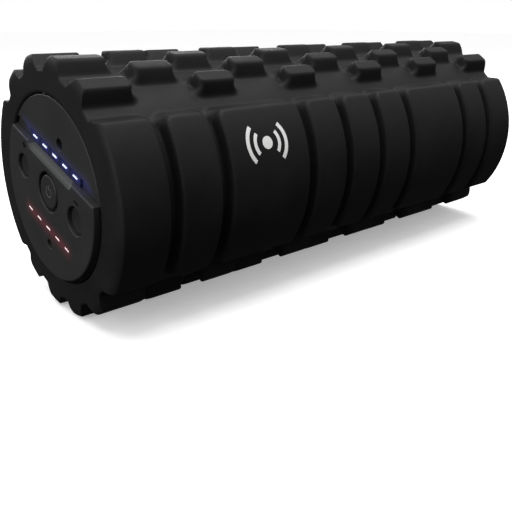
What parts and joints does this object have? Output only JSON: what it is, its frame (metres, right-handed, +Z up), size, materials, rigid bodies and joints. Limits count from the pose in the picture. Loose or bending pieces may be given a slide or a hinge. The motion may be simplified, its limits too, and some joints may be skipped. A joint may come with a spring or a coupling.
{
  "type": "vibrating foam roller",
  "caption": "Short studded foam massage roller with a vibration motor inside and a lit control cap with push buttons at one end.",
  "frame": {"origin": "centre of the bounding box, on the roller's axis", "axes": "+X along the roller away from the control cap, +Z up with a studded side down, a wide tread band faces -Y"},
  "size_m": [0.3324, 0.13, 0.1302],
  "materials": {
    "foam": "matte foam",
    "cap_plastic": "fine texture",
    "inner_plastic": "matte",
    "tube_plastic": "matte",
    "button_plastic": "satin",
    "light_blue": "clear, lit blue",
    "light_red": "clear, lit red",
    "lens": "smoked",
    "board": "solder mask",
    "black_plastic": "satin",
    "seal_rubber": "matte",
    "steel": "plain",
    "bronze": "plain",
    "magnet": "matte",
    "cell_wrap": "shrink wrapped",
    "lead_red": "matte",
    "lead_black": "matte"
  },
  "bodies": {
    "roller": {"foam_sleeve": "foam", "control_cap": "cap_plastic", "rear_cap": "cap_plastic", "core_tube": "tube_plastic", "seal_front": "seal_rubber", "seal_rear": "seal_rubber", "speed_light_bar": "light_blue", "battery_light_bar": "light_red", "charging_jack": "black_plastic", "jack_pin": "steel", "charge_lens": "lens", "control_pcb": "board", "switch_power": "black_plastic", "switch_plus": "black_plastic", "switch_minus": "black_plastic", "pcb_screw_1": "steel", "pcb_screw_2": "steel", "pcb_screw_3": "steel", "chassis_rod_1": "steel", "chassis_rod_2": "steel", "chassis_rod_3": "steel", "battery_holder_front": "inner_plastic", "battery_holder_rear": "inner_plastic", "cell_1": "cell_wrap", "cell_2": "cell_wrap", "cell_3": "cell_wrap", "bms_board": "board", "motor_mount_front": "inner_plastic", "motor_mount_rear": "inner_plastic", "isolator_front": "seal_rubber", "isolator_rear": "seal_rubber", "motor_can": "steel", "motor_end_bell": "black_plastic", "bearing_front": "bronze", "bearing_rear": "bronze", "magnet_upper": "magnet", "magnet_lower": "magnet", "brush_left": "black_plastic", "brush_right": "black_plastic", "battery_lead_red": "lead_red", "battery_lead_black": "lead_black", "motor_lead_red": "lead_red", "motor_lead_black": "lead_black"},
    "power_key": {"power_button": "button_plastic"},
    "plus_key": {"plus_button": "button_plastic"},
    "minus_key": {"minus_button": "button_plastic"},
    "rotor": {"rotor_shaft": "steel", "armature": "steel", "commutator": "bronze", "weight_front": "steel", "weight_rear": "steel"}
  },
  "joints": [
    {"name": "power_press", "type": "slide", "parent": "roller", "child": "power_key", "axis": [1, 0, 0], "range_m": [0, 0.0008], "stiffness_N_per_m": 1500, "springref_m": -0.0005},
    {"name": "plus_press", "type": "slide", "parent": "roller", "child": "plus_key", "axis": [1, 0, 0], "range_m": [0, 0.0008], "stiffness_N_per_m": 1500, "springref_m": -0.0005},
    {"name": "minus_press", "type": "slide", "parent": "roller", "child": "minus_key", "axis": [1, 0, 0], "range_m": [0, 0.0008], "stiffness_N_per_m": 1500, "springref_m": -0.0005},
    {"name": "rotor_spin", "type": "hinge", "parent": "roller", "child": "rotor", "pos_m": [0, 0, 0], "axis": [1, 0, 0], "continuous": true}
  ]
}
